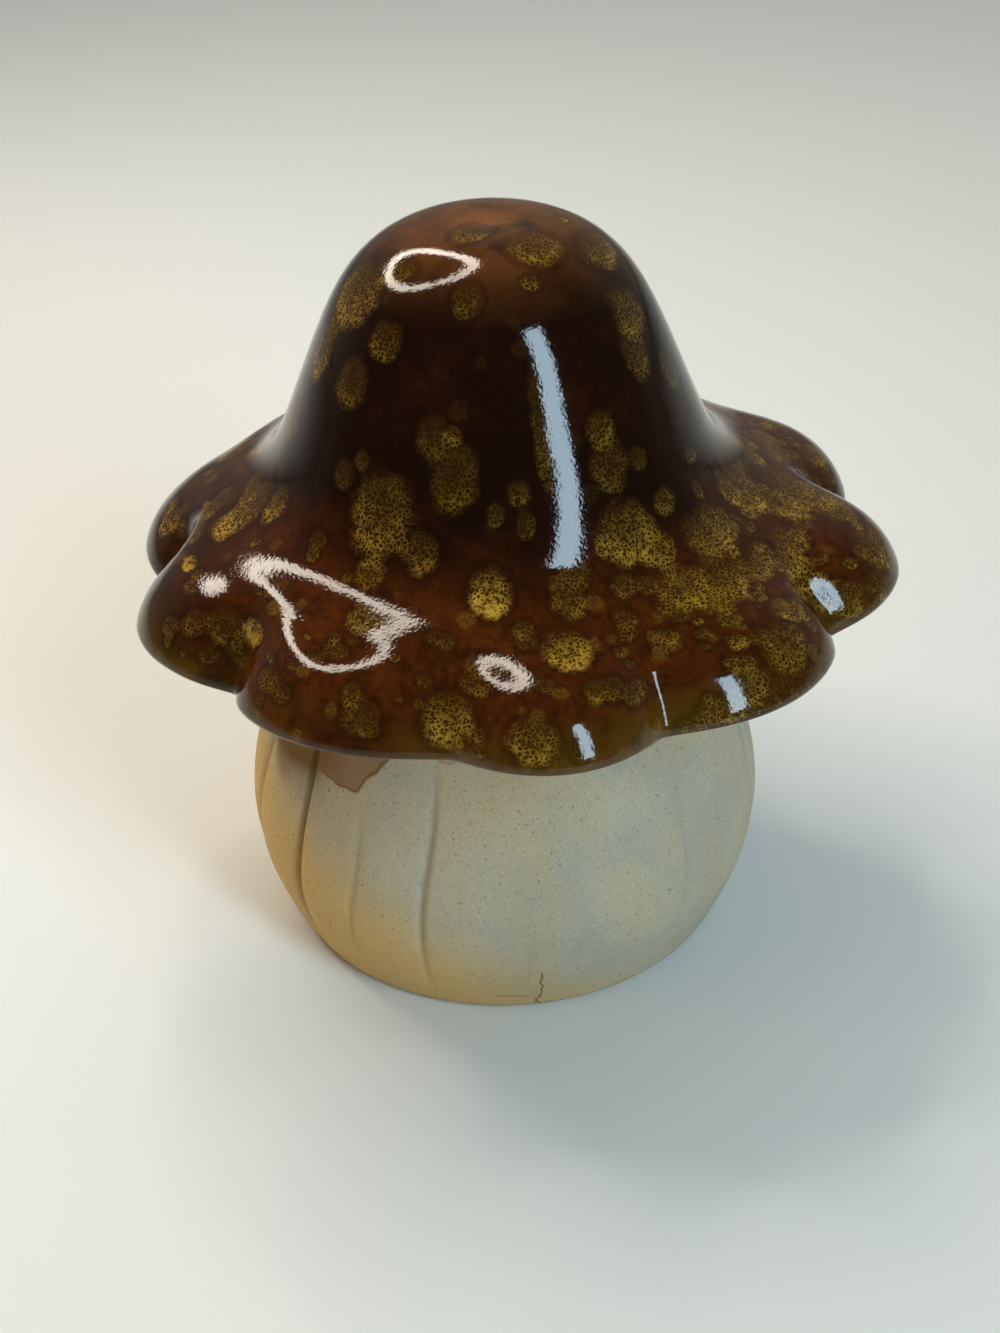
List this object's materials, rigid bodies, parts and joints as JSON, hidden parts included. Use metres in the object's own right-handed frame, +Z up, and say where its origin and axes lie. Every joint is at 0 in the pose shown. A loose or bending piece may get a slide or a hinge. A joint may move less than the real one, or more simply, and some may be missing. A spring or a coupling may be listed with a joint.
{
  "type": "ceramic mushroom ornament",
  "caption": "Hollow stoneware mushroom ornament: a glossy speckled brown glazed bell cap with a wavy lobed brim on a bulbous raw stem that stands on a flat foot.",
  "frame": {"origin": "middle of the flat foot, on the surface the ornament stands on", "axes": "+Z up through the crown of the cap, -Y towards the viewer in the picture, +X to the viewer's right"},
  "size_m": [0.1597, 0.1628, 0.1596],
  "materials": {
    "cap_stoneware": "matte, unglazed",
    "brown_glaze": "glossy with mustard spots",
    "slip": "matte, unglazed",
    "stem_stoneware": "matte, unglazed, with fine pits"
  },
  "bodies": {
    "root": {"cap": "cap_stoneware", "cap_glaze": "brown_glaze", "luting_ring": "slip", "stem": "stem_stoneware"}
  },
  "joints": []
}
